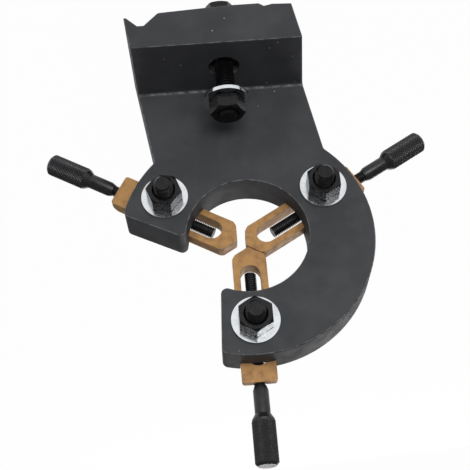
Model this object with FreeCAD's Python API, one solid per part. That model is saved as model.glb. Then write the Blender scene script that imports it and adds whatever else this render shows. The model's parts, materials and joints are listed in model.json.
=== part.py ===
import FreeCAD, Part
import math
import os

from FreeCAD import Vector

# Open steady rest for a small bench lathe, as an assembly of separate pieces.
#
# Millimetres. +X runs across the bed, +Y along the work axis from the front of the rest to its back,
# and +Z up. The origin is on the bed seat, straight below the work axis, in the plane of the ring's
# front face. Each piece is written to parts/NODE.step.

# ---- Frame casting ----------------------------------------------------------------------------
centre_height = 90.0        # work axis above the bed seat
ring_inner_radius = 25.0    # passes work up to 50 mm
ring_outer_radius = 51.8
plate_thickness = 16.8      # ring and column, from front to back
foot_height = 18.9
foot_depth = 33.5           # how far the foot stands out in front of the ring
base_right_x = 45.1         # the column's sides, where they would meet the seat's level
base_left_x = -27.0
side_lean = 0.16            # both sides lean the same way: run per unit of height
foot_draft = 1.8            # how much the foot's left side draws in towards its front
arm_half_width_inner = 12.7    # beside the mouth, from a jaw's axis to the arm's edge
arm_half_width_outer = 14.2
mouth_corner_radius = 2.5
left_neck_fillet = 3.0      # where the column's sides run into the ring
right_neck_fillet = 1.5
foot_root_fillet = 1.5      # between the top of the foot and the ring's front face
ring_edge_radius = 0.7      # along the front of the ring and column
back_edge_radius = 0.5
foot_edge_radius = 0.5

# ---- Underside of the foot ----------------------------------------------------------------------
seat_left_x = -11.8         # the land that rests on the bed's flat way
seat_right_x = 0.5
relief_depth = 1.5          # groove beside the land
relief_width = 2.1
outer_pad_inner_x = -17.4
outer_pad_inner_z = 0.7
outer_pad_outer_z = 1.25
outer_pad_corner_radius = 1.6
groove_x = 37.7             # 90-degree groove for the bed's prismatic way
groove_apex_z = 9.0         # where its flanks would meet
groove_root_z = 7.7
groove_shoulder_z = 1.6
groove_lip_z = 3.2
groove_shoulder_radius = 2.0

# ---- Jaws ---------------------------------------------------------------------------------------
jaw_width = 14.0
jaw_thickness = 7.0
jaw_side_clearance = 0.1
jaw_face_clearance = 0.05
jaw_tip_angle = 120.0       # included angle of the pointed tip
jaw_tip_land = 0.8          # the point is broken to a narrow land
jaw_shoulder_break = 1.2
jaw_end_block = 6.7         # solid end beyond the slot
jaw_end_corner_radius = 1.2
jaw_end_back_radius = 4.0
jaw_slot_width = 8.4
closed_tip_gap = 0.35       # between the faces of the two jaws that meet

# ---- Threaded fasteners, M8 --------------------------------------------------------------------
m8_diameter = 7.9           # over the thread's crests
m8_nut_bore = 8.0
m8_across_flats = 13.0
m8_nut_height = 6.5
m8_nut_countersink = 0.8    # at both ends of the bore
m8_head_height = 5.3
m8_end_chamfer = 1.0
hex_chamfer_diameter = 12.6
hex_chamfer_angle = 30.0
jaw_bolt_length = 30.0
jaw_bolt_inset = 13.9       # from the ring's outer edge to the bolt's axis
jaw_bolt_hole = 9.0
bed_bolt_length = 50.0
bed_bolt_x = 4.3
bed_hole_diameter = 13.2
washer_bore = 8.4
washer_diameter = 19.2
washer_thickness = 1.6

# ---- Bed clamp ----------------------------------------------------------------------------------
clamp_plate_length = 46.0
clamp_plate_width = 15.0
clamp_plate_thickness = 3.7
clamp_plate_hole = 8.6
clamp_plate_corner_radius = 2.0
clamp_plate_gap = 2.1       # below the bed seat, with the bolt pulled up
bed_washer_z = 34.9

# ---- Thumbscrews, M5 ----------------------------------------------------------------------------
m5_diameter = 4.9
m5_bore = 5.1
m5_end_chamfer = 0.6
screw_thread_length = 47.5
screw_cone_length = 2.2
screw_neck_diameter = 6.2
screw_neck_length = 9.3
screw_shoulder_length = 2.4
grip_diameter = 9.5
grip_length = 17.8
grip_end_chamfer = 1.1
grip_end_chamfer_length = 1.3

# ---- The three jaw stations ----------------------------------------------------------------------
# angle: direction of the jaw from the work axis, in degrees from +X towards +Z
# tip: distance of the jaw's point from the work axis, negative past it
# solid_tip: solid bronze between the point and the slot
# overhang: how far the jaw's outer end stands out beyond the ring
# screw_gap: bare thread between the jaw's outer end and the thumbscrew's cone
# nut_turn: how the jaw's nut happens to stand, in degrees
lower_left_tip = -0.75
top_tip = closed_tip_gap / math.cos(math.radians(90.0 - jaw_tip_angle / 2)) - lower_left_tip
lower_right_tip = 4.8
STATIONS = {
    "top": dict(angle=90.0, tip=top_tip, solid_tip=8.3, overhang=7.6, screw_gap=0.3, nut_turn=0.0),
    "lower_left": dict(angle=210.0, tip=lower_left_tip, solid_tip=6.0, overhang=4.4, screw_gap=4.0,
                       nut_turn=0.0),
    "lower_right": dict(angle=330.0, tip=lower_right_tip, solid_tip=7.5, overhang=9.2, screw_gap=2.3,
                        nut_turn=20.0),
}

# ---- Derived places -------------------------------------------------------------------------------
front_y = 0.0
back_y = plate_thickness
channel_floor_y = back_y - jaw_thickness
jaw_front_y = channel_floor_y + jaw_face_clearance
jaw_back_y = jaw_front_y + jaw_thickness
jaw_middle_y = (jaw_front_y + jaw_back_y) / 2
jaw_bolt_circle_radius = ring_outer_radius - jaw_bolt_inset
jaw_bolt_head_y = jaw_back_y + jaw_face_clearance
bed_bolt_y = -foot_depth / 2
bed_head_top_z = -clamp_plate_gap - clamp_plate_thickness


# ---- Small helpers ----------------------------------------------------------------------------------
def prism(points, low_y, high_y):
    """A straight prism along Y over a closed outline of (x, z) points."""
    corners = [Vector(x, low_y, z) for x, z in points]
    outline = Part.makePolygon(corners + corners[:1])
    return Part.Face(outline).extrude(Vector(0, high_y - low_y, 0))


def cylinder_y(radius, low_y, high_y, x=0.0, z=0.0):
    """A cylinder along Y."""
    return Part.makeCylinder(radius, high_y - low_y, Vector(x, low_y, z), Vector(0, 1, 0))


def turned(profile, axis_start, axis_direction):
    """A turned piece: (distance along the axis, radius) points, revolved about the axis."""
    points = [Vector(radius, 0, along) for along, radius in profile]
    points = [Vector(0, 0, profile[0][0])] + points + [Vector(0, 0, profile[-1][0])]
    outline = Part.makePolygon(points + points[:1])
    solid = Part.Face(outline).revolve(Vector(0, 0, 0), Vector(0, 0, 1), 360)
    solid.Placement = FreeCAD.Placement(
        axis_start, FreeCAD.Rotation(Vector(0, 0, 1), axis_direction)
    )
    return Part.Solid(Part.Shell(solid.Faces))


def edges_along_y(shape, x, z, reach=0.4):
    """The straight edges parallel to Y that pass within reach of (x, z)."""
    found = []
    for edge in shape.Edges:
        ends = [vertex.Point for vertex in edge.Vertexes]
        if len(ends) != 2 or abs(ends[0].x - ends[1].x) + abs(ends[0].z - ends[1].z) > 1e-4:
            continue
        if math.hypot(ends[0].x - x, ends[0].z - z) < reach:
            found.append(edge)
    return found


def edges_in_plane_y(shape, y):
    """The edges that lie wholly in the plane at y."""
    return [e for e in shape.Edges if all(abs(v.Point.y - y) < 1e-4 for v in e.Vertexes)
            and abs(e.BoundBox.YMin - y) < 1e-3 and abs(e.BoundBox.YMax - y) < 1e-3]


def at_station(shape, angle):
    """Turns a piece built along +X, about the origin, to its station round the work axis."""
    placed = shape.copy()
    placed.rotate(Vector(0, 0, 0), Vector(0, -1, 0), angle)
    placed.translate(Vector(0, 0, centre_height))
    return placed


def radial_point(angle, along, across=0.0):
    """(x, z) of a point at a distance along a station's axis, and across it to its left."""
    turn = math.radians(angle)
    x = along * math.cos(turn) - across * math.sin(turn)
    z = along * math.sin(turn) + across * math.cos(turn)
    return x, centre_height + z


def circle_line_crossing(foot_x, lean):
    """(x, z) where a column side, x = foot_x - lean * z, runs into the ring's lower outer edge."""
    # substitute x into x^2 + (z - centre_height)^2 = ring_outer_radius^2
    a = 1 + lean * lean
    b = -2 * (lean * foot_x + centre_height)
    c = foot_x ** 2 + centre_height ** 2 - ring_outer_radius ** 2
    z = (-b - math.sqrt(b * b - 4 * a * c)) / (2 * a)
    return foot_x - lean * z, z


# ---- Frame ---------------------------------------------------------------------------------------------
def side_x(base_x, z):
    """Where a leaning side stands at height z."""
    return base_x - side_lean * z


def underside_outline():
    """The underside of the foot, from its left side to its right: pad, relief, seat, way groove."""
    return [
        (side_x(base_left_x, outer_pad_outer_z), outer_pad_outer_z),
        (outer_pad_inner_x, outer_pad_inner_z),
        (seat_left_x - relief_width, relief_depth),
        (seat_left_x, 0.0),
        (seat_right_x, 0.0),
        (groove_x - (groove_apex_z - groove_shoulder_z), groove_shoulder_z),
        (groove_x - (groove_apex_z - groove_root_z), groove_root_z),
        (groove_x + (groove_apex_z - groove_root_z), groove_root_z),
        (groove_x + (groove_apex_z - groove_lip_z), groove_lip_z),
        (side_x(base_right_x, groove_lip_z), groove_lip_z),
    ]


def foot_and_column():
    """The foot's block and the column that rises from its back to the ring."""
    column_top = centre_height - ring_inner_radius
    foot = prism(underside_outline() + [
        (side_x(base_right_x, foot_height), foot_height),
        (side_x(base_left_x, foot_height), foot_height),
    ], -foot_depth, back_y)
    # the draft: a thin wedge off the foot's left side, from nothing at the ring to foot_draft in front
    tall = foot_height * 2
    low_x, high_x = side_x(base_left_x, -tall), side_x(base_left_x, tall)
    wedge_back = Part.makePolygon([
        Vector(low_x - foot_depth, front_y, -tall), Vector(low_x, front_y, -tall),
        Vector(high_x, front_y, tall), Vector(high_x - foot_depth, front_y, tall),
        Vector(low_x - foot_depth, front_y, -tall),
    ])
    wedge_front = wedge_back.copy()
    wedge_front.translate(Vector(foot_draft, -foot_depth, 0))
    foot = foot.cut(Part.makeLoft([wedge_back, wedge_front], True, True))
    column = prism([
        (side_x(base_left_x, foot_height), foot_height),
        (side_x(base_right_x, foot_height), foot_height),
        (side_x(base_right_x, column_top), column_top),
        (side_x(base_left_x, column_top), column_top),
    ], front_y, back_y)
    return foot.fuse(column)


def mouth_cutter():
    """The open side of the C, between the top arm and the lower right arm."""
    slope = (arm_half_width_outer - arm_half_width_inner) / (ring_outer_radius - ring_inner_radius)
    near, far = ring_inner_radius / 2, ring_outer_radius * 1.5

    def arm_edge(angle, side, along):
        half_width = arm_half_width_inner + slope * (along - ring_inner_radius)
        return radial_point(angle, along, side * half_width)

    top, low = STATIONS["top"]["angle"], STATIONS["lower_right"]["angle"]
    middle = (top + low - 360.0) / 2
    return prism([
        arm_edge(top, -1, near), arm_edge(top, -1, far), radial_point(middle, 2 * far),
        arm_edge(low, 1, far), arm_edge(low, 1, near),
    ], front_y - 1, back_y + 1)


def mouth_corner(angle, side, radius):
    """(x, z) of the corner that an arm's edge beside the mouth makes with a circle of the ring."""
    slope = (arm_half_width_outer - arm_half_width_inner) / (ring_outer_radius - ring_inner_radius)
    along = radius
    for _ in range(20):
        half_width = arm_half_width_inner + slope * (along - ring_inner_radius)
        along = math.sqrt(radius ** 2 - half_width ** 2)
    return radial_point(angle, along, side * half_width)


def make_frame():
    """The casting: an open ring on a leaning column with an L-shaped foot."""
    disc = cylinder_y(ring_outer_radius, front_y, back_y, z=centre_height)
    bore = cylinder_y(ring_inner_radius, front_y - 1, back_y + 1, z=centre_height)
    body = foot_and_column().fuse(disc).cut(bore).cut(mouth_cutter()).removeSplitter()

    top, low = STATIONS["top"]["angle"], STATIONS["lower_right"]["angle"]
    for radius in (ring_inner_radius, ring_outer_radius):
        for angle, side in ((top, -1), (low, 1)):
            corner = edges_along_y(body, *mouth_corner(angle, side, radius))
            body = body.makeFillet(mouth_corner_radius, corner)
    for base_x, radius in ((base_left_x, left_neck_fillet), (base_right_x, right_neck_fillet)):
        body = body.makeFillet(radius, edges_along_y(body, *circle_line_crossing(base_x, side_lean)))
    shoulder_x = groove_x - (groove_apex_z - groove_shoulder_z)
    body = body.makeFillet(groove_shoulder_radius, edges_along_y(body, shoulder_x, groove_shoulder_z))

    root = [e for e in edges_in_plane_y(body, front_y) if abs(e.BoundBox.ZMin - foot_height) < 1e-3
            and abs(e.BoundBox.ZMax - foot_height) < 1e-3]
    body = body.makeFillet(foot_root_fillet, root)
    front_outline = [e for e in edges_in_plane_y(body, front_y)
                     if e.BoundBox.ZMin > foot_height + foot_root_fillet + 0.1]
    body = body.makeFillet(ring_edge_radius, front_outline)
    foot_rim = edges_in_plane_y(body, -foot_depth)
    body = body.makeFillet(foot_edge_radius, foot_rim)
    body = body.makeFillet(back_edge_radius, edges_in_plane_y(body, back_y))

    channel_half = jaw_width / 2 + jaw_side_clearance
    channel = Part.makeBox(ring_outer_radius, 2 * channel_half, jaw_thickness + 1,
                           Vector(ring_inner_radius / 2, -channel_half, 0))
    channel.rotate(Vector(0, 0, 0), Vector(1, 0, 0), 90)
    channel.translate(Vector(0, back_y + 1, 0))
    for station in STATIONS.values():
        x, z = radial_point(station["angle"], jaw_bolt_circle_radius)
        body = body.cut(at_station(channel, station["angle"]))
        body = body.cut(cylinder_y(jaw_bolt_hole / 2, front_y - 1, back_y + 1, x, z))
    bed_hole = Part.makeCylinder(bed_hole_diameter / 2, foot_height + 2,
                                 Vector(bed_bolt_x, bed_bolt_y, -1))
    return body.cut(bed_hole)


# ---- Jaws ------------------------------------------------------------------------------------------------
def jaw_end(station):
    """How far a jaw's outer end is from the work axis."""
    return ring_outer_radius + station["overhang"]


def round_ended_slot(start, end, half):
    """The slot's space, along +X from one rounded end's centre to the other's, through the jaw."""
    def at(x, z):
        return Vector(x, jaw_front_y - 1, z)

    edges = [
        Part.LineSegment(at(start, half), at(end, half)).toShape(),
        Part.Arc(at(end, half), at(end + half, 0), at(end, -half)).toShape(),
        Part.LineSegment(at(end, -half), at(start, -half)).toShape(),
        Part.Arc(at(start, -half), at(start - half, 0), at(start, half)).toShape(),
    ]
    return Part.Face(Part.Wire(edges)).extrude(Vector(0, jaw_thickness + 2, 0))


def make_jaw(station):
    """A bronze bar with a pointed tip, a long slot for its bolt and a bored end for its thumbscrew."""
    tip, end, half = station["tip"], jaw_end(station), jaw_width / 2
    rise = 1 / math.tan(math.radians(jaw_tip_angle / 2))
    shoulder, land = tip + half * rise, jaw_tip_land / 2
    brk = jaw_shoulder_break
    upper = [
        (tip + land * rise, land), (shoulder - brk * rise, half - brk), (shoulder + brk, half),
        (end, half),
    ]
    lower = [(along, -across) for along, across in reversed(upper)]
    bar = prism(upper + lower, jaw_front_y, jaw_back_y)
    back_edge = [e for e in edges_in_plane_y(bar, jaw_back_y) if abs(e.BoundBox.XMin - end) < 1e-3
                 and abs(e.BoundBox.XMax - end) < 1e-3]
    bar = bar.makeFillet(jaw_end_back_radius, back_edge)
    end_corners = [e for across in (half, -half) for e in edges_along_y(bar, end, across)]
    bar = bar.makeFillet(jaw_end_corner_radius, end_corners)

    slot_half = jaw_slot_width / 2
    slot_start = tip + station["solid_tip"] + slot_half
    slot_end = end - jaw_end_block - slot_half
    bar = bar.cut(round_ended_slot(slot_start, slot_end, slot_half))
    screw_bore = Part.makeCylinder(m5_bore / 2, jaw_end_block + slot_half + 1,
                                   Vector(slot_end, jaw_middle_y, 0), Vector(1, 0, 0))
    return at_station(bar.cut(screw_bore), station["angle"])


# ---- Fasteners ---------------------------------------------------------------------------------------------
def hexagon(height, across_flats, both_ends=True):
    """A hexagonal prism along +Z with its corners turned off at the top, and at the bottom too."""
    corner_radius = across_flats / 2 / math.cos(math.radians(30))
    points = [Vector(corner_radius * math.cos(math.radians(60 * i)),
                     corner_radius * math.sin(math.radians(60 * i)), 0) for i in range(6)]
    prism_z = Part.Face(Part.makePolygon(points + points[:1])).extrude(Vector(0, 0, height))
    flat_radius = hex_chamfer_diameter / m8_across_flats * across_flats / 2
    drop = (corner_radius + 0.1 - flat_radius) * math.tan(math.radians(hex_chamfer_angle))
    envelope = [(0.0, flat_radius if both_ends else corner_radius + 0.1)]
    if both_ends:
        envelope.append((drop, corner_radius + 0.1))
    envelope += [(height - drop, corner_radius + 0.1), (height, flat_radius)]
    return prism_z.common(turned(envelope, Vector(0, 0, 0), Vector(0, 0, 1)))


def make_nut():
    """An M8 hex nut along +Z, standing on the origin."""
    bore, sink = m8_nut_bore / 2, m8_nut_countersink
    space = turned([(-1.0, bore + sink + 1), (sink, bore), (m8_nut_height - sink, bore),
                    (m8_nut_height + 1, bore + sink + 1)], Vector(0, 0, 0), Vector(0, 0, 1))
    return hexagon(m8_nut_height, m8_across_flats).cut(space)


def make_washer():
    """A plain washer along +Z, standing on the origin."""
    disc = Part.makeCylinder(washer_diameter / 2, washer_thickness)
    return disc.cut(Part.makeCylinder(washer_bore / 2, washer_thickness + 2, Vector(0, 0, -1)))


def make_bolt(length):
    """An M8 hex bolt along +Z: the head ends at the origin and the shank runs up from it."""
    head = hexagon(m8_head_height, m8_across_flats)
    head.translate(Vector(0, 0, -m8_head_height))
    radius = m8_diameter / 2
    shank = turned([(-1.0, radius), (length - m8_end_chamfer, radius),
                    (length, radius - m8_end_chamfer)], Vector(0, 0, 0), Vector(0, 0, 1))
    return head.fuse(shank).removeSplitter()


def pointing_forward(shape, turn, x, y, z):
    """Lays a piece that was built along +Z so that it points to the front, -Y, at a place."""
    placed = shape.copy()
    placed.rotate(Vector(0, 0, 0), Vector(0, 0, 1), turn)
    placed.rotate(Vector(0, 0, 0), Vector(1, 0, 0), 90)
    placed.translate(Vector(x, y, z))
    return placed


def make_jaw_bolt(station):
    """The bolt that clamps a jaw, with its head at the back and a cross hole for the thumbscrew."""
    x, z = radial_point(station["angle"], jaw_bolt_circle_radius)
    bolt = pointing_forward(make_bolt(jaw_bolt_length), station["angle"], x, jaw_bolt_head_y, z)
    cross_hole = Part.makeCylinder(m5_bore / 2, 2 * m8_diameter,
                                   Vector(jaw_bolt_circle_radius - m8_diameter, jaw_middle_y, 0),
                                   Vector(1, 0, 0))
    return bolt.cut(at_station(cross_hole, station["angle"]))


def make_thumbscrew(station):
    """A turned screw: M5 thread, short cone, plain neck, sloping shoulder and a knurled grip."""
    cone = jaw_end(station) + station["screw_gap"]
    tip = cone - screw_thread_length
    neck = cone + screw_cone_length
    shoulder = neck + screw_neck_length
    grip = shoulder + screw_shoulder_length
    end = grip + grip_length
    profile = [
        (tip, m5_diameter / 2 - m5_end_chamfer), (tip + m5_end_chamfer, m5_diameter / 2),
        (cone, m5_diameter / 2), (neck, screw_neck_diameter / 2), (shoulder, screw_neck_diameter / 2),
        (grip, grip_diameter / 2), (end - grip_end_chamfer_length, grip_diameter / 2),
        (end, grip_diameter / 2 - grip_end_chamfer),
    ]
    screw = turned(profile, Vector(0, jaw_middle_y, 0), Vector(1, 0, 0))
    return at_station(screw, station["angle"])


# ---- Bed clamp -------------------------------------------------------------------------------------------------
def make_clamp_plate():
    """The plate that the bed bolt's head pulls up against the underside of the bed."""
    plate = Part.makeBox(clamp_plate_length, clamp_plate_width, clamp_plate_thickness,
                         Vector(bed_bolt_x - clamp_plate_length / 2,
                                bed_bolt_y - clamp_plate_width / 2, bed_head_top_z))
    upright = [e for e in plate.Edges if e.BoundBox.ZLength > clamp_plate_thickness - 0.1]
    plate = plate.makeFillet(clamp_plate_corner_radius, upright)
    hole = Part.makeCylinder(clamp_plate_hole / 2, clamp_plate_thickness + 2,
                             Vector(bed_bolt_x, bed_bolt_y, bed_head_top_z - 1))
    return plate.cut(hole)


def on_bed_bolt(shape, z):
    """Stands a piece that was built along +Z on the bed bolt's axis at height z."""
    placed = shape.copy()
    placed.translate(Vector(bed_bolt_x, bed_bolt_y, z))
    return placed


# ---- The assembly -------------------------------------------------------------------------------------------------
def all_pieces():
    """Every piece of the steady rest, by its node's name."""
    pieces = {"frame": make_frame()}
    for name, station in STATIONS.items():
        angle, turn = station["angle"], station["angle"] + station["nut_turn"]
        x, z = radial_point(angle, jaw_bolt_circle_radius)
        pieces[f"{name}_jaw"] = make_jaw(station)
        pieces[f"{name}_thumbscrew"] = make_thumbscrew(station)
        pieces[f"{name}_jaw_bolt"] = make_jaw_bolt(station)
        pieces[f"{name}_washer"] = pointing_forward(make_washer(), 0, x, front_y, z)
        pieces[f"{name}_nut"] = pointing_forward(make_nut(), turn, x, front_y - washer_thickness, z)
    pieces["bed_bolt"] = on_bed_bolt(make_bolt(bed_bolt_length), bed_head_top_z)
    pieces["bed_clamp_plate"] = make_clamp_plate()
    pieces["bed_washer"] = on_bed_bolt(make_washer(), bed_washer_z)
    pieces["bed_nut"] = on_bed_bolt(make_nut(), bed_washer_z + washer_thickness)
    return pieces


def main():
    """Builds every piece and writes it to parts/."""
    os.makedirs("parts", exist_ok=True)
    for name, shape in all_pieces().items():
        solids = shape.Solids
        if len(solids) != 1 or not shape.isValid():
            raise ValueError(f"{name}: {len(solids)} solids, valid {shape.isValid()}")
        solids[0].exportStep(os.path.join("parts", f"{name}.step"))
        box = shape.BoundBox
        print(f"{name:26s} {shape.Volume:10.1f} mm3  x {box.XMin:7.2f} {box.XMax:7.2f}  "
              f"y {box.YMin:7.2f} {box.YMax:7.2f}  z {box.ZMin:7.2f} {box.ZMax:7.2f}")


main()
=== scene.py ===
"""Looks for an open steady rest of a small bench lathe.

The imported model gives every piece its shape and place. This script dresses the casting, the bronze
jaws, the nuts and the washers in their finishes, and models the threaded and knurled pieces afresh
with their real threads and knurling. Lengths are in metres unless a name ends in _mm.
"""

import json
import logging
import math
from collections.abc import Callable
from dataclasses import dataclass
from enum import Enum

import bpy
from mathutils import Euler, Matrix, Vector

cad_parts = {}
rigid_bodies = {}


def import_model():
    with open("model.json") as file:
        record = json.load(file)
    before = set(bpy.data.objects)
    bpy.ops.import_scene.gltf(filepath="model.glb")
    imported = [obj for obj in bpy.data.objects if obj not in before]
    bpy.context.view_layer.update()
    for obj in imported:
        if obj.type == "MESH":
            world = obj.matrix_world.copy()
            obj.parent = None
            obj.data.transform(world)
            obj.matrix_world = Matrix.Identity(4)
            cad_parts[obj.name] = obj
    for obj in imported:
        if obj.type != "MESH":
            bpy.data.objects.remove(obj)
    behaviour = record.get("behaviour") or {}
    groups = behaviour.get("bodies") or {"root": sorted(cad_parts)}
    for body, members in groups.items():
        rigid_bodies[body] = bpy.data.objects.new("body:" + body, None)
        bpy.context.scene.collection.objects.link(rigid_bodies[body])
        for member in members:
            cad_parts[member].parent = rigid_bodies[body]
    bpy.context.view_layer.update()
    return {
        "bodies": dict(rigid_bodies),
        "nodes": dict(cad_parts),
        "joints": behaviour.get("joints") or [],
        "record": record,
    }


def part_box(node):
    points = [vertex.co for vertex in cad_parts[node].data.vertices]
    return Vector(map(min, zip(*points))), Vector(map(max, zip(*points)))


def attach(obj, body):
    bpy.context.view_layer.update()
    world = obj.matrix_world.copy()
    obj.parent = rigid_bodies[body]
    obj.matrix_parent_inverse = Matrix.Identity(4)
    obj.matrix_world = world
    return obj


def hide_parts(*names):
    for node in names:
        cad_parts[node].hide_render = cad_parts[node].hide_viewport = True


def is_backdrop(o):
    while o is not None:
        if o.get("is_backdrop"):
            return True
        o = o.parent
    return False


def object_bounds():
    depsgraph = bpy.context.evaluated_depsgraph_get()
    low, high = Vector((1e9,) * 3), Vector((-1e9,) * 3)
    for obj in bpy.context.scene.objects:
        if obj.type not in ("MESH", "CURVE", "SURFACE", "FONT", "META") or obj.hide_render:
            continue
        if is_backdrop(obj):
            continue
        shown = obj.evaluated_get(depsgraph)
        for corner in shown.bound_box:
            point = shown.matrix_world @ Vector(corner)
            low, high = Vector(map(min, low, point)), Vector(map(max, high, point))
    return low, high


LOG = logging.getLogger("steady_rest")
MM = 0.001
MERGE_MM = 0.002            # points nearer than this are one point
THREAD_MERGE_MM = 0.004     # the same, where one turn of a thread meets the next
CUT_MM = 0.001              # how near a plane a point counts as on it
CLEARANCE_MM = 1.0          # how far an envelope stands clear of what it doesn't trim


class Station(Enum):
    """The three jaw stations round the work axis, with each jaw's direction in degrees."""

    TOP = ("top", 90.0)
    LOWER_LEFT = ("lower_left", 210.0)
    LOWER_RIGHT = ("lower_right", 330.0)

    @property
    def label(self) -> str:
        """The start of the station's piece names."""
        return self.value[0]

    @property
    def angle(self) -> float:
        """Direction of the jaw from the work axis, in radians from +X towards +Z."""
        return math.radians(self.value[1])


def mm(value: float) -> float:
    """A length in millimetres as metres."""
    return value * MM


def srgb(hex_colour: str) -> tuple[float, float, float, float]:
    """An sRGB hex colour as linear RGBA.

    Args:
        hex_colour: Six hex digits after a hash sign.

    Returns:
        Linear red, green, blue and an alpha of 1.
    """
    channels = [int(hex_colour[i:i + 2], 16) / 255 for i in (1, 3, 5)]
    linear = [c / 12.92 if c <= 0.04045 else ((c + 0.055) / 1.055) ** 2.4 for c in channels]
    return (*linear, 1.0)


# ---- Material building -------------------------------------------------------------------------

Socket = bpy.types.NodeSocket


def add_node(
    material: bpy.types.Material,
    kind: str,
    links: dict[int | str, Socket] | None = None,
    values: dict[int | str, object] | None = None,
    **settings: object,
) -> bpy.types.Node:
    """Adds one shader node with its settings, constants and incoming links.

    Args:
        material: The material whose tree gets the node.
        kind: The node's Blender type name.
        links: Input socket, by name or number, to the output socket that feeds it.
        values: Input socket, by name or number, to a constant.
        **settings: Attributes of the node itself.

    Returns:
        The new node.
    """
    tree = material.node_tree
    node = tree.nodes.new(kind)
    for name, value in settings.items():
        setattr(node, name, value)
    for name, value in (values or {}).items():
        node.inputs[name].default_value = value
    for name, source in (links or {}).items():
        tree.links.new(source, node.inputs[name])
    return node


def new_material(name: str) -> tuple[bpy.types.Material, bpy.types.Node]:
    """An empty node material.

    Args:
        name: The material's name.

    Returns:
        The material and its output node.
    """
    material = bpy.data.materials.new(name)
    material.use_nodes = True
    material.node_tree.nodes.clear()
    return material, add_node(material, "ShaderNodeOutputMaterial")


def object_coordinates(material: bpy.types.Material) -> Socket:
    """The coordinates of the piece itself, in metres."""
    return add_node(material, "ShaderNodeTexCoord").outputs["Object"]


def noise(
    material: bpy.types.Material,
    coordinates: Socket,
    feature_mm: float,
    detail: float = 3.0,
    roughness: float = 0.55,
) -> Socket:
    """Cloudy noise whose blobs are about feature_mm across.

    Args:
        material: The material whose tree gets the node.
        coordinates: Where the noise is read.
        feature_mm: Size of one blob.
        detail: Octaves of finer noise.
        roughness: Strength of the finer octaves.

    Returns:
        The noise's value, around one half.
    """
    node = add_node(
        material,
        "ShaderNodeTexNoise",
        links={"Vector": coordinates},
        values={"Scale": 1 / mm(feature_mm), "Detail": detail, "Roughness": roughness},
    )
    return node.outputs["Fac"]


def ramp(
    material: bpy.types.Material,
    value: Socket,
    low: float,
    high: float,
    to_low: float = 0.0,
    to_high: float = 1.0,
) -> Socket:
    """A value moved smoothly from one span to another and clamped there.

    Args:
        material: The material whose tree gets the node.
        value: The incoming value.
        low: Incoming value that gives to_low.
        high: Incoming value that gives to_high.
        to_low: Result at low.
        to_high: Result at high.

    Returns:
        The moved value.
    """
    node = add_node(
        material,
        "ShaderNodeMapRange",
        links={"Value": value},
        values={"From Min": low, "From Max": high, "To Min": to_low, "To Max": to_high},
        interpolation_type="SMOOTHSTEP",
    )
    return node.outputs["Result"]


def mix_colours(
    material: bpy.types.Material,
    factor: Socket | float,
    first: Socket | str,
    second: Socket | str,
) -> Socket:
    """A blend of two colours.

    Args:
        material: The material whose tree gets the node.
        factor: Share of the second colour.
        first: Hex colour or socket.
        second: Hex colour or socket.

    Returns:
        The blended colour.
    """
    links: dict[int | str, Socket] = {}
    values: dict[int | str, object] = {}
    for name, source in (("Factor", factor), ("A", first), ("B", second)):
        index = {"Factor": 0, "A": 6, "B": 7}[name]
        if isinstance(source, str):
            values[index] = srgb(source)
        elif isinstance(source, float):
            values[index] = source
        else:
            links[index] = source
    node = add_node(material, "ShaderNodeMix", links=links, values=values, data_type="RGBA")
    return node.outputs[2]


def maths(
    material: bpy.types.Material,
    operation: str,
    first: Socket | float,
    second: Socket | float = 0.0,
) -> Socket:
    """One arithmetic step.

    Args:
        material: The material whose tree gets the node.
        operation: The Math node's operation.
        first: First operand.
        second: Second operand.

    Returns:
        The result.
    """
    links: dict[int | str, Socket] = {}
    values: dict[int | str, object] = {}
    for index, source in enumerate((first, second)):
        (values if isinstance(source, float) else links)[index] = source
    return add_node(
        material, "ShaderNodeMath", links=links, values=values, operation=operation
    ).outputs["Value"]


def rounded_front_edges(material: bpy.types.Material) -> Socket:
    """Where a casting's fillets turn from its front or back face into its walls.

    Args:
        material: The material whose tree gets the nodes.

    Returns:
        1 on the fillets, 0 on flat faces and on walls.
    """
    normal = add_node(material, "ShaderNodeTexCoord").outputs["Normal"]
    parts = add_node(material, "ShaderNodeSeparateXYZ", links={0: normal})
    facing = maths(material, "ABSOLUTE", parts.outputs["Y"])
    off_wall = ramp(material, facing, 0.35, 0.6)
    off_face = ramp(material, facing, 0.86, 0.97, 1.0, 0.0)
    return maths(material, "MULTIPLY", off_wall, off_face)


def bump(
    material: bpy.types.Material, height: Socket, depth_mm: float, under: Socket | None = None
) -> Socket:
    """Relief from a height between 0 and 1.

    Args:
        material: The material whose tree gets the node.
        height: The height's pattern.
        depth_mm: How deep the relief is.
        under: Normal of a coarser relief below this one.

    Returns:
        The bumped normal.
    """
    links: dict[int | str, Socket] = {"Height": height}
    if under is not None:
        links["Normal"] = under
    node = add_node(
        material, "ShaderNodeBump", links=links, values={"Strength": 1.0, "Distance": mm(depth_mm)}
    )
    return node.outputs["Normal"]


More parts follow.
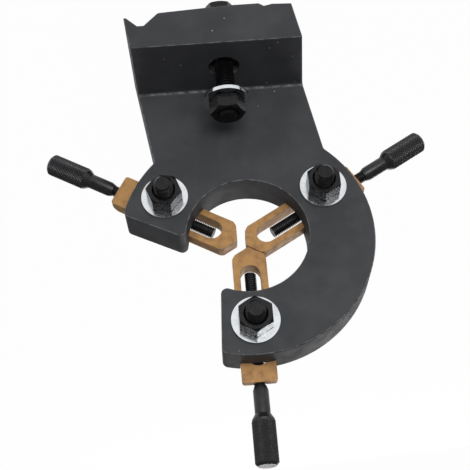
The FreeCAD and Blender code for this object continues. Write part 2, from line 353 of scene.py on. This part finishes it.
@dataclass(frozen=True)
class PaintedIron:
    """Grey iron casting under a thin coat of dark grey enamel, sprayed on over the foundry skin.

    The sand leaves a soft orange-peel grain. A painted highlight runs as a pale line along the edge
    fillets, broken up by noise, and the paint has a few pin-prick chips.
    """

    paint: str = "#4A4B4E"
    paint_dark: str = "#414245"
    # Pale grey of the painted edge highlight, also used for the pin-prick chips.
    pale_chip_and_highlight: str = "#A9ABAD"
    grain_mm: float = 0.9
    patch_mm: float = 22.0
    chip_mm: float = 4.2

    def build(self) -> bpy.types.Material:
        """Makes the finish."""
        material, output = new_material("dark_grey_enamel_on_cast_iron")
        place = object_coordinates(material)
        patches = ramp(material, noise(material, place, self.patch_mm), 0.38, 0.62)
        coat = mix_colours(material, patches, self.paint, self.paint_dark)
        breaks = ramp(material, noise(material, place, 3.2, 4.0, 0.7), 0.34, 0.66)
        # Painted highlight: a pale line on the fillets between the front or back face and the walls,
        # broken up by noise.
        edge_highlight = maths(material, "MULTIPLY", rounded_front_edges(material), breaks)
        edge_highlight = maths(material, "MULTIPLY", edge_highlight, 0.5)
        cells = add_node(
            material,
            "ShaderNodeTexVoronoi",
            links={"Vector": place},
            values={"Scale": 1 / mm(self.chip_mm), "Randomness": 1.0},
        )
        pricks = ramp(material, cells.outputs["Distance"], 0.05, 0.09, 1.0, 0.0)
        some = ramp(material, noise(material, place, 16.0, 1.0), 0.55, 0.60)
        pricks = maths(material, "MULTIPLY", pricks, some)
        # The pale colour goes on the painted edge highlight and on the pin-prick chips.
        chip_and_highlight_mask = maths(material, "MAXIMUM", edge_highlight, pricks)
        colour = mix_colours(material, chip_and_highlight_mask, coat, self.pale_chip_and_highlight)
        grain = noise(material, place, self.grain_mm, 2.0)
        roughness = ramp(material, noise(material, place, 6.0), 0.35, 0.65, 0.58, 0.68)
        shader = add_node(
            material,
            "ShaderNodeBsdfPrincipled",
            links={
                "Base Color": colour,
                "Roughness": roughness,
                "Normal": bump(material, grain, 0.035),
            },
            values={"IOR": 1.5, "Specular IOR Level": 0.25},
        )
        add_links(material, output, shader)
        return material


@dataclass(frozen=True)
class MachinedBronze:
    """Bronze bar, milled all over: warm tan faces, browner where handling has stained it."""

    face: str = "#BC8F58"
    stained: str = "#9E764B"
    grime: str = "#6E4C32"
    lay_mm: float = 0.35
    stain_mm: float = 5.0

    def build(self) -> bpy.types.Material:
        """Makes the finish."""
        material, output = new_material("milled_bronze")
        place = object_coordinates(material)
        stain = ramp(material, noise(material, place, self.stain_mm, 4.0, 0.65), 0.42, 0.68)
        colour = mix_colours(material, stain, self.face, self.stained)
        spots = ramp(material, noise(material, place, 1.6, 3.0, 0.7), 0.62, 0.74, 0.0, 0.35)
        colour = mix_colours(material, spots, colour, self.grime)
        lay = noise(material, place, self.lay_mm, 2.0)
        roughness = ramp(material, noise(material, place, 2.4, 4.0), 0.3, 0.7, 0.5, 0.64)
        shader = add_node(
            material,
            "ShaderNodeBsdfPrincipled",
            links={
                "Base Color": colour,
                "Roughness": roughness,
                "Normal": bump(material, lay, 0.02),
            },
            values={"Metallic": 0.35},
        )
        add_links(material, output, shader)
        return material


@dataclass(frozen=True)
class BlackOxideSteel:
    """Steel hardware blackened in hot oxide and oiled: near black, with a faint blotchiness."""

    name: str = "black_oxide_steel"
    colour: str = "#19191B"
    blotch: str = "#222224"
    roughness_low: float = 0.2
    roughness_high: float = 0.32

    def build(self) -> bpy.types.Material:
        """Makes the finish."""
        material, output = new_material(self.name)
        place = object_coordinates(material)
        blotch = ramp(material, noise(material, place, 2.5, 4.0), 0.4, 0.7)
        colour = mix_colours(material, blotch, self.colour, self.blotch)
        roughness = ramp(
            material, noise(material, place, 1.2), 0.3, 0.7, self.roughness_low, self.roughness_high
        )
        shader = add_node(
            material,
            "ShaderNodeBsdfPrincipled",
            links={
                "Base Color": colour,
                "Roughness": roughness,
                "Normal": bump(material, noise(material, place, 0.5), 0.0015),
            },
            values={"Metallic": 0.55},
        )
        add_links(material, output, shader)
        return material


@dataclass(frozen=True)
class ZincPlate:
    """Bright zinc on a stamped washer: silvery, with a fine tumbled haze and faint scuffs."""

    bright: str = "#E4E7EA"
    dull: str = "#D3D7DA"

    def build(self) -> bpy.types.Material:
        """Makes the finish."""
        material, output = new_material("bright_zinc_plate")
        place = object_coordinates(material)
        haze = ramp(material, noise(material, place, 3.0, 4.0, 0.6), 0.4, 0.7)
        colour = mix_colours(material, haze, self.bright, self.dull)
        roughness = ramp(material, noise(material, place, 1.0, 3.0), 0.3, 0.7, 0.12, 0.19)
        shader = add_node(
            material,
            "ShaderNodeBsdfPrincipled",
            links={
                "Base Color": colour,
                "Roughness": roughness,
                "Normal": bump(material, noise(material, place, 0.6), 0.002),
            },
            values={"Metallic": 1.0},
        )
        add_links(material, output, shader)
        return material


def add_links(
    material: bpy.types.Material, output: bpy.types.Node, shader: bpy.types.Node
) -> None:
    """Joins a shader to the material's output.

    Args:
        material: The material.
        output: Its output node.
        shader: The node whose first output is the surface.
    """
    material.node_tree.links.new(shader.outputs[0], output.inputs["Surface"])


def dress(piece: bpy.types.Object, material: bpy.types.Material) -> None:
    """Gives a piece one finish all over, in every slot that it has.

    Args:
        piece: The mesh object.
        material: The finish.
    """
    if not piece.material_slots:
        piece.data.materials.append(material)
    for slot in piece.material_slots:
        slot.material = material


# ---- Modelling helpers -------------------------------------------------------------------------


def start_alone() -> None:
    """Leaves edit mode and deselects everything."""
    if bpy.context.mode != "OBJECT":
        bpy.ops.object.mode_set(mode="OBJECT")
    bpy.ops.object.select_all(action="DESELECT")


def make_active(piece: bpy.types.Object) -> None:
    """Selects one piece and nothing else."""
    start_alone()
    piece.select_set(True)
    bpy.context.view_layer.objects.active = piece


def draw_line(name: str, points: list[tuple[float, float]]) -> bpy.types.Object:
    """Draws a half profile in the XZ plane, one extruded corner after another.

    Args:
        name: The new object's name.
        points: (radius, height) corners in metres.

    Returns:
        An object whose mesh is the open line.
    """
    start_alone()
    radius, height = points[0]
    bpy.ops.mesh.primitive_plane_add(size=mm(1), location=(radius, 0, height))
    line = bpy.context.object
    line.name = name
    bpy.ops.object.transform_apply(location=True, rotation=True, scale=True)
    bpy.ops.object.mode_set(mode="EDIT")
    bpy.ops.mesh.select_mode(type="VERT")
    bpy.ops.mesh.select_all(action="SELECT")
    bpy.ops.mesh.merge(type="CENTER")
    bpy.ops.mesh.select_all(action="SELECT")
    for (x0, z0), (x1, z1) in zip(points, points[1:]):
        bpy.ops.mesh.extrude_region_move(TRANSFORM_OT_translate={"value": (x1 - x0, 0, z1 - z0)})
    bpy.ops.object.mode_set(mode="OBJECT")
    return line


def turn(name: str, points: list[tuple[float, float]], steps: int) -> bpy.types.Object:
    """Turns a profile that starts and ends on the Z axis into a closed solid.

    Args:
        name: The new object's name.
        points: (radius, height) corners in metres.
        steps: Facets round the axis.

    Returns:
        The turned solid.
    """
    solid = draw_line(name, points)
    bpy.ops.object.mode_set(mode="EDIT")
    bpy.ops.mesh.select_all(action="SELECT")
    bpy.ops.mesh.spin(steps=steps, angle=math.tau, center=(0, 0, 0), axis=(0, 0, 1))
    bpy.ops.mesh.select_all(action="SELECT")
    bpy.ops.mesh.remove_doubles(threshold=mm(MERGE_MM))
    bpy.ops.mesh.normals_make_consistent(inside=False)
    bpy.ops.object.mode_set(mode="OBJECT")
    return solid


def apply_modifier(piece: bpy.types.Object, kind: str, **settings: object) -> None:
    """Adds a modifier and applies it at once.

    Args:
        piece: The object.
        kind: The modifier's type.
        **settings: The modifier's own settings.
    """
    make_active(piece)
    modifier = piece.modifiers.new(kind.lower(), kind)
    for name, value in settings.items():
        setattr(modifier, name, value)
    bpy.ops.object.modifier_apply(modifier=modifier.name)


def keep_common(piece: bpy.types.Object, envelope: bpy.types.Object) -> None:
    """Trims a piece to what lies inside a closed envelope, which is used up.

    Args:
        piece: The object that is trimmed.
        envelope: The closed solid.
    """
    apply_modifier(piece, "BOOLEAN", operation="INTERSECT", solver="EXACT", object=envelope)
    bpy.data.objects.remove(envelope)


def join_pieces(pieces: list[bpy.types.Object], name: str) -> bpy.types.Object:
    """Joins finished solids into one object.

    Args:
        pieces: The solids.
        name: The joined object's name.

    Returns:
        The joined object.
    """
    make_active(pieces[0])
    for piece in pieces[1:]:
        piece.select_set(True)
    bpy.ops.object.join()
    joined = bpy.context.object
    joined.name = name
    joined.data.name = name
    return joined


def smooth(piece: bpy.types.Object, angle_deg: float) -> None:
    """Shades faces smooth where they meet at less than an angle."""
    make_active(piece)
    bpy.ops.object.shade_smooth_by_angle(angle=math.radians(angle_deg))


def put(piece: bpy.types.Object, matrix: Matrix) -> None:
    """Moves a piece's mesh to its place, with the object left at the origin."""
    make_active(piece)
    piece.data.transform(matrix)
    piece.data.update()


@dataclass
class ScrewThread:
    """A single-start external thread of the metric form, cut on a bar along +Z."""

    crest_radius: float
    pitch: float
    steps: int = 24

    @property
    def root_radius(self) -> float:
        """Radius at the bottom of the groove."""
        return self.crest_radius - 0.6134 * self.pitch

    def build(self, name: str, low: float, high: float, chamfer: float) -> bpy.types.Object:
        """Makes a threaded bar with flat ends, the upper one chamfered.

        Args:
            name: The new object's name.
            low: Height of the lower end.
            high: Height of the upper end.
            chamfer: Size of the chamfer at the upper end, 0 for none.

        Returns:
            The closed bar.
        """
        crest, root, pitch = self.crest_radius, self.root_radius, self.pitch
        start = low - pitch
        shares = [(root, 0.0), (root, 0.2), (crest, 0.54), (crest, 0.66), (root, 1.0)]
        bar = draw_line(name, [(radius, start + share * pitch) for radius, share in shares])
        turns = math.ceil((high - start) / pitch) + 1
        apply_modifier(
            bar,
            "SCREW",
            axis="Z",
            screw_offset=pitch,
            iterations=turns,
            steps=self.steps,
            render_steps=self.steps,
            use_merge_vertices=True,
            merge_threshold=mm(MERGE_MM),
        )
        bpy.ops.object.mode_set(mode="EDIT")
        bpy.ops.mesh.select_all(action="SELECT")
        bpy.ops.mesh.remove_doubles(threshold=mm(THREAD_MERGE_MM))
        for height, above in ((low, False), (high, True)):
            bpy.ops.mesh.select_all(action="SELECT")
            bpy.ops.mesh.bisect(
                plane_co=(0, 0, height),
                plane_no=(0, 0, 1),
                use_fill=True,
                threshold=mm(CUT_MM),
                clear_outer=above,
                clear_inner=not above,
            )
        bpy.ops.mesh.select_all(action="SELECT")
        bpy.ops.mesh.normals_make_consistent(inside=False)
        bpy.ops.object.mode_set(mode="OBJECT")
        if chamfer:
            reach = crest + mm(0.5)
            envelope = turn(
                f"{name}_envelope",
                [
                    (0.0, low - mm(CLEARANCE_MM)),
                    (reach, low - mm(CLEARANCE_MM)),
                    (reach, high - chamfer - mm(0.5)),
                    (crest - chamfer, high),
                    (0.0, high),
                ],
                2 * self.steps,
            )
            keep_common(bar, envelope)
        return bar


@dataclass
class HexBolt:
    """A fully threaded hexagon bolt: its head is below the origin and its shank runs up +Z."""

    thread: ScrewThread
    length: float
    across_flats: float = mm(13.0)
    head_height: float = mm(5.3)
    washer_face: float = mm(0.3)
    end_chamfer: float = mm(1.0)
    chamfer_circle: float = 0.475
    corner_reach: float = 1.02
    chamfer_slope: float = math.tan(math.radians(30))

    def build(self, name: str) -> bpy.types.Object:
        """Makes the bolt.

        Args:
            name: The new object's name.

        Returns:
            The bolt, along +Z from the underside of its head.
        """
        start_alone()
        corner = self.across_flats / math.sqrt(3)
        height = self.head_height - self.washer_face
        bpy.ops.mesh.primitive_cylinder_add(
            vertices=6,
            radius=corner,
            depth=height,
            location=(0, 0, -self.washer_face - height / 2),
            rotation=(0, 0, math.radians(30)),
        )
        head = bpy.context.object
        bpy.ops.object.transform_apply(location=True, rotation=True, scale=True)
        flat = self.chamfer_circle * self.across_flats
        reach = corner * self.corner_reach
        drop = (reach - flat) * self.chamfer_slope
        cap = turn(
            f"{name}_cap",
            [
                (0.0, mm(CLEARANCE_MM)),
                (reach, mm(CLEARANCE_MM)),
                (reach, -self.head_height + drop),
                (flat, -self.head_height),
                (0.0, -self.head_height),
            ],
            96,
        )
        keep_common(head, cap)
        collar = turn(
            f"{name}_collar",
            [
                (0.0, -self.washer_face),
                (flat, -self.washer_face),
                (flat, 0.0),
                (0.0, 0.0),
            ],
            64,
        )
        shank = self.thread.build(f"{name}_shank", 0.0, self.length, self.end_chamfer)
        bolt = join_pieces([head, collar, shank], name)
        smooth(bolt, 24)
        return bolt


@dataclass
class Knurl:
    """A diamond knurl rolled on a bar along +Z."""

    radius: float
    pitch: float = mm(1.15)
    depth: float = mm(0.28)

    def build(self, name: str, low: float, high: float, chamfer: float) -> bpy.types.Object:
        """Makes the knurled bar with a chamfered upper end and a plain lower one.

        Args:
            name: The new object's name.
            low: Height of the lower end.
            high: Height of the upper end.
            chamfer: Size of the chamfer at the upper end.

        Returns:
            The closed bar.
        """
        start_alone()
        base = self.radius - self.depth
        around = round(math.tau * self.radius / self.pitch)
        along = max(2, round((high - low) / (self.pitch * 1.25)))
        bpy.ops.mesh.primitive_cylinder_add(
            vertices=around, radius=base, depth=high - low, location=(0, 0, (low + high) / 2)
        )
        bar = bpy.context.object
        bar.name = name
        bpy.ops.object.transform_apply(location=True, rotation=False, scale=False)
        bpy.ops.object.mode_set(mode="EDIT")
        bpy.ops.mesh.select_all(action="SELECT")
        spacing = (high - low) / along
        for row in range(1, along):
            bpy.ops.mesh.select_all(action="SELECT")
            bpy.ops.mesh.bisect(
                plane_co=(0, 0, low + row * spacing), plane_no=(0, 0, 1), threshold=mm(CUT_MM)
            )
        self._select_faces(bar, lambda face: abs(face.normal.z) < 0.5)
        bpy.ops.mesh.poke()
        self._select_edges(bar, base, low, high)
        bpy.ops.mesh.dissolve_edges(use_verts=False)
        self._select_faces(bar, lambda face: abs(face.normal.z) < 0.5 and len(face.vertices) == 4)
        bpy.ops.mesh.poke(offset=self.depth)
        bpy.ops.object.mode_set(mode="OBJECT")
        reach = self.radius + mm(1)
        envelope = turn(
            f"{name}_envelope",
            [
                (0.0, low),
                (reach, low),
                (reach, high - chamfer - mm(1)),
                (self.radius - chamfer, high),
                (0.0, high),
            ],
            96,
        )
        keep_common(bar, envelope)
        return bar

    @staticmethod
    def _select_faces(
        piece: bpy.types.Object, test: Callable[[bpy.types.MeshPolygon], bool]
    ) -> None:
        """Selects the faces that pass a test, in edit mode."""
        bpy.ops.mesh.select_all(action="DESELECT")
        bpy.ops.object.mode_set(mode="OBJECT")
        for face in piece.data.polygons:
            face.select = bool(test(face))
        bpy.ops.object.mode_set(mode="EDIT")

    @staticmethod
    def _select_edges(piece: bpy.types.Object, radius: float, low: float, high: float) -> None:
        """Selects the first grid's edges, both of whose ends lie on the full radius."""
        bpy.ops.mesh.select_all(action="DESELECT")
        bpy.ops.mesh.select_mode(type="EDGE")
        bpy.ops.object.mode_set(mode="OBJECT")
        points = [vertex.co for vertex in piece.data.vertices]
        for edge in piece.data.edges:
            first, second = (points[i] for i in edge.vertices)
            on_grid = min(first.xy.length, second.xy.length) > radius - mm(0.002)
            on_rim = all(
                min(abs(p.z - low), abs(p.z - high)) < mm(0.01) for p in (first, second)
            )
            edge.select = on_grid and not on_rim
        bpy.ops.object.mode_set(mode="EDIT")


@dataclass
class Thumbscrew:
    """A turned and blackened thumbscrew, along +Z from its threaded tip to its knurled grip."""

    thread: ScrewThread
    grip_radius: float = mm(4.75)
    neck_radius: float = mm(3.1)
    thread_length: float = mm(47.5)
    cone_length: float = mm(2.2)
    neck_length: float = mm(9.3)
    shoulder_length: float = mm(2.4)
    grip_length: float = mm(17.8)
    grip_chamfer: float = mm(1.1)

    @property
    def length(self) -> float:
        """From the tip to the end of the grip."""
        return (
            self.thread_length
            + self.cone_length
            + self.neck_length
            + self.shoulder_length
            + self.grip_length
        )

    def build(self, name: str) -> bpy.types.Object:
        """Makes the thumbscrew.

        Args:
            name: The new object's name.

        Returns:
            The thumbscrew, with its tip at the origin.
        """
        cone = self.thread_length
        neck = cone + self.cone_length
        shoulder = neck + self.neck_length
        grip = shoulder + self.shoulder_length
        shaft = self.thread.build(f"{name}_thread", 0.0, cone, 0.0)
        round_over = mm(0.3)
        body = turn(
            f"{name}_body",
            [
                (0.0, cone),
                (self.thread.root_radius, cone),
                (self.thread.crest_radius, cone + mm(0.4)),
                (self.neck_radius, neck),
                (self.neck_radius, shoulder),
                (self.grip_radius - round_over, grip - mm(0.2)),
                (self.grip_radius - round_over, grip + mm(0.2)),
                (0.0, grip + mm(0.2)),
            ],
            48,
        )
        knurl = Knurl(self.grip_radius).build(
            f"{name}_grip", grip + mm(0.2), self.length, self.grip_chamfer
        )
        screw = join_pieces([shaft, body, knurl], name)
        smooth(screw, 28)
        return screw


# ---- Sub-assemblies ----------------------------------------------------------------------------


@dataclass(frozen=True)
class Finishes:
    """Every finish of the steady rest, made once."""

    iron: bpy.types.Material
    bronze: bpy.types.Material
    bolt: bpy.types.Material
    screw: bpy.types.Material
    zinc: bpy.types.Material

    @staticmethod
    def build() -> "Finishes":
        """Makes all the finishes."""
        return Finishes(
            iron=PaintedIron().build(),
            bronze=MachinedBronze().build(),
            bolt=BlackOxideSteel().build(),
            screw=BlackOxideSteel(
                name="blackened_turned_steel",
                colour="#303032",
                blotch="#3A3A3C",
                roughness_low=0.28,
                roughness_high=0.4,
            ).build(),
            zinc=ZincPlate().build(),
        )


@dataclass
class JawStation:
    """One station: the bronze jaw, its thumbscrew, and the bolt, washer and nut that clamp it."""

    station: Station
    thumbscrew: Thumbscrew
    bolt: HexBolt

    @property
    def direction(self) -> Vector:
        """Unit vector from the work axis out along the jaw."""
        angle = self.station.angle
        return Vector((math.cos(angle), 0, math.sin(angle)))

    def build(self, frame: dict, finishes: Finishes) -> None:
        """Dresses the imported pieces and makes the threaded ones.

        Args:
            finishes: The finishes.
        """
        label = self.station.label
        nodes = frame["nodes"]
        dress(nodes[f"{label}_jaw"], finishes.bronze)
        dress(nodes[f"{label}_washer"], finishes.zinc)
        dress(nodes[f"{label}_nut"], finishes.bolt)
        self._make_thumbscrew(nodes, finishes)
        self._make_bolt(nodes, finishes)
        LOG.info("%s station: jaw, washer, nut, thumbscrew and bolt", label)

    def _make_thumbscrew(self, nodes: dict, finishes: Finishes) -> None:
        """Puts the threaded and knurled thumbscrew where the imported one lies."""
        label = self.station.label
        node = f"{label}_thumbscrew"
        mesh = nodes[node].data
        centre_height = frame_centre_height(nodes)
        along = [(v.co - Vector((0, 0, centre_height))).dot(self.direction) for v in mesh.vertices]
        tip = min(along)
        low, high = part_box(node)
        screw = self.thumbscrew.build(f"{label}_thumbscrew_piece")
        origin = Vector((0, (low.y + high.y) / 2, centre_height)) + tip * self.direction
        outward = self.direction.to_track_quat("Z", "Y").to_matrix().to_4x4()
        put(screw, Matrix.Translation(origin) @ outward)
        finish_piece(screw, node, node, finishes.screw)

    def _make_bolt(self, nodes: dict, finishes: Finishes) -> None:
        """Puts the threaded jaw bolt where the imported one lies."""
        label = self.station.label
        node = f"{label}_jaw_bolt"
        low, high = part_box(node)
        bolt = self.bolt.build(f"{label}_jaw_bolt_piece")
        seat = Vector(((low.x + high.x) / 2, high.y - self.bolt.head_height, (low.z + high.z) / 2))
        forward = Matrix.Rotation(math.radians(90), 4, "X")
        put(bolt, Matrix.Translation(seat) @ forward @ Matrix.Rotation(self.station.angle, 4, "Z"))
        finish_piece(bolt, node, "frame", finishes.bolt)


def frame_centre_height(nodes: dict) -> float:
    """Height of the work axis: the top of the ring less the ring's outer radius.

    Args:
        nodes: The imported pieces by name.

    Returns:
        The height above the bed seat.
    """
    mesh = nodes["frame"].data
    left = min(vertex.co.x for vertex in mesh.vertices)
    top = max(vertex.co.z for vertex in mesh.vertices)
    return top + left


def finish_piece(
    piece: bpy.types.Object,
    node: str,
    body: str,
    material: bpy.types.Material,
) -> None:
    """Dresses a new piece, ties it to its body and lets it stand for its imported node.

    Args:
        piece: The new piece, in place.
        node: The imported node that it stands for.
        body: The body that it moves with.
        material: The finish.
    """
    dress(piece, material)
    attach(piece, body)
    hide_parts(node)


@dataclass
class BedClamp:
    """The bolt that clamps the rest to the bed, with its plate, washer and nut."""

    bolt: HexBolt

    def build(self, frame: dict, finishes: Finishes) -> None:
        """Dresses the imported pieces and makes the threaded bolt.

        Args:
            finishes: The finishes.
        """
        nodes = frame["nodes"]
        dress(nodes["bed_clamp_plate"], finishes.bolt)
        dress(nodes["bed_washer"], finishes.zinc)
        dress(nodes["bed_nut"], finishes.bolt)
        low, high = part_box("bed_bolt")
        bolt = self.bolt.build("bed_bolt_piece")
        seat = Vector(((low.x + high.x) / 2, (low.y + high.y) / 2, low.z + self.bolt.head_height))
        put(bolt, Matrix.Translation(seat))
        finish_piece(bolt, "bed_bolt", "bed_bolt", finishes.bolt)
        LOG.info("bed clamp: bolt, plate, washer and nut")


@dataclass
class Casting:
    """The iron ring, column and foot."""

    def build(self, frame: dict, finishes: Finishes) -> None:
        """Dresses the casting.

        Args:
            finishes: The finishes.
        """
        dress(frame["nodes"]["frame"], finishes.iron)
        LOG.info("casting: ring, column and foot")


# ---- Studio ------------------------------------------------------------------------------------


@dataclass
class Studio:
    """Pale floor, soft lamps and the camera."""

    floor_colour: str = "#F4F4F4"
    camera_place: tuple[float, float, float] = (mm(15.24), mm(-356.6), mm(266.5))
    camera_turn_deg: tuple[float, float, float] = (-63.61, -4.38, 179.44)
    lens_mm: float = 75.19

    def build(self) -> None:
        """Makes the whole studio."""
        self._make_floor()
        self._make_world()
        self._make_lamp("key", (mm(-120), mm(-900), mm(60)), mm(600), 6.4)
        self._make_lamp("back_fill", (mm(-150), mm(850), mm(90)), mm(700), 4.0)
        self._make_camera()
        bpy.context.scene.view_settings.view_transform = "Standard"
        LOG.info("studio: floor, lamps and camera")

    def _make_floor(self) -> None:
        """A wide pale floor under the lowest piece, white to the camera and in reflections."""
        low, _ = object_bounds()
        start_alone()
        bpy.ops.mesh.primitive_plane_add(size=12.0, location=(0, 0, low.z - mm(0.2)))
        floor = bpy.context.object
        floor.name = "studio_floor"
        material, output = new_material("pale_floor")
        floor_colour = srgb(self.floor_colour)
        matte = add_node(material, "ShaderNodeBsdfDiffuse", values={"Color": floor_colour})
        white = {"Color": (1, 1, 1, 1), "Strength": 1.0}
        glow = add_node(material, "ShaderNodeEmission", values=white)
        path = add_node(material, "ShaderNodeLightPath")
        camera, glossy = path.outputs["Is Camera Ray"], path.outputs["Is Glossy Ray"]
        seen = maths(material, "MAXIMUM", camera, glossy)
        seen = maths(material, "MAXIMUM", seen, path.outputs["Is Transmission Ray"])
        share = maths(material, "MULTIPLY", seen, 0.98)
        both = add_node(
            material,
            "ShaderNodeMixShader",
            links={0: share, 1: matte.outputs[0], 2: glow.outputs[0]},
        )
        add_links(material, output, both)
        dress(floor, material)
        floor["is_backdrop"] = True

    def _make_world(self) -> None:
        """A plain pale surround at a low level, white where it is seen."""
        world = bpy.data.worlds.new("studio_surround")
        bpy.context.scene.world = world
        world.use_nodes = True
        tree = world.node_tree
        fill = tree.nodes["Background"]
        fill.inputs["Color"].default_value = (1, 1, 1, 1)
        fill.inputs["Strength"].default_value = 0.24
        seen = tree.nodes.new("ShaderNodeBackground")
        seen.inputs["Color"].default_value = (1, 1, 1, 1)
        seen.inputs["Strength"].default_value = 1.0
        path = tree.nodes.new("ShaderNodeLightPath")
        both = tree.nodes.new("ShaderNodeMixShader")
        tree.links.new(path.outputs["Is Camera Ray"], both.inputs[0])
        tree.links.new(fill.outputs[0], both.inputs[1])
        tree.links.new(seen.outputs[0], both.inputs[2])
        tree.links.new(both.outputs[0], tree.nodes["World Output"].inputs["Surface"])

    def _make_lamp(
        self, name: str, place: tuple[float, float, float], size: float, power: float
    ) -> None:
        """A soft square lamp that points at the middle of the object.

        Args:
            name: The lamp's name.
            place: Its centre.
            size: Length of its side.
            power: Its power in watts.
        """
        light = bpy.data.lights.new(name, "AREA")
        light.shape = "SQUARE"
        light.size = size
        light.energy = power
        lamp = bpy.data.objects.new(name, light)
        bpy.context.scene.collection.objects.link(lamp)
        lamp.location = place
        low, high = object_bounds()
        aim = (low + high) / 2 - Vector(place)
        lamp.rotation_euler = aim.to_track_quat("-Z", "Y").to_euler()

    def _make_camera(self) -> None:
        """The camera, above and in front, and turned over."""
        data = bpy.data.cameras.new("camera")
        data.lens = self.lens_mm
        data.clip_start = mm(10)
        camera = bpy.data.objects.new("camera", data)
        bpy.context.scene.collection.objects.link(camera)
        camera.location = self.camera_place
        camera.rotation_euler = Euler([math.radians(a) for a in self.camera_turn_deg], "XYZ")
        bpy.context.scene.camera = camera


def main() -> None:
    """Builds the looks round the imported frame."""
    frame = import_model()
    finishes = Finishes.build()
    m8 = ScrewThread(crest_radius=mm(3.95), pitch=mm(1.25))
    m5 = ScrewThread(crest_radius=mm(2.45), pitch=mm(0.8), steps=20)
    Casting().build(frame, finishes)
    for station in Station:
        JawStation(station, Thumbscrew(m5), HexBolt(m8, mm(30))).build(frame, finishes)
    BedClamp(HexBolt(m8, mm(50))).build(frame, finishes)
    Studio().build()


if __name__ == "__main__":
    logging.basicConfig(level=logging.INFO)
    main()
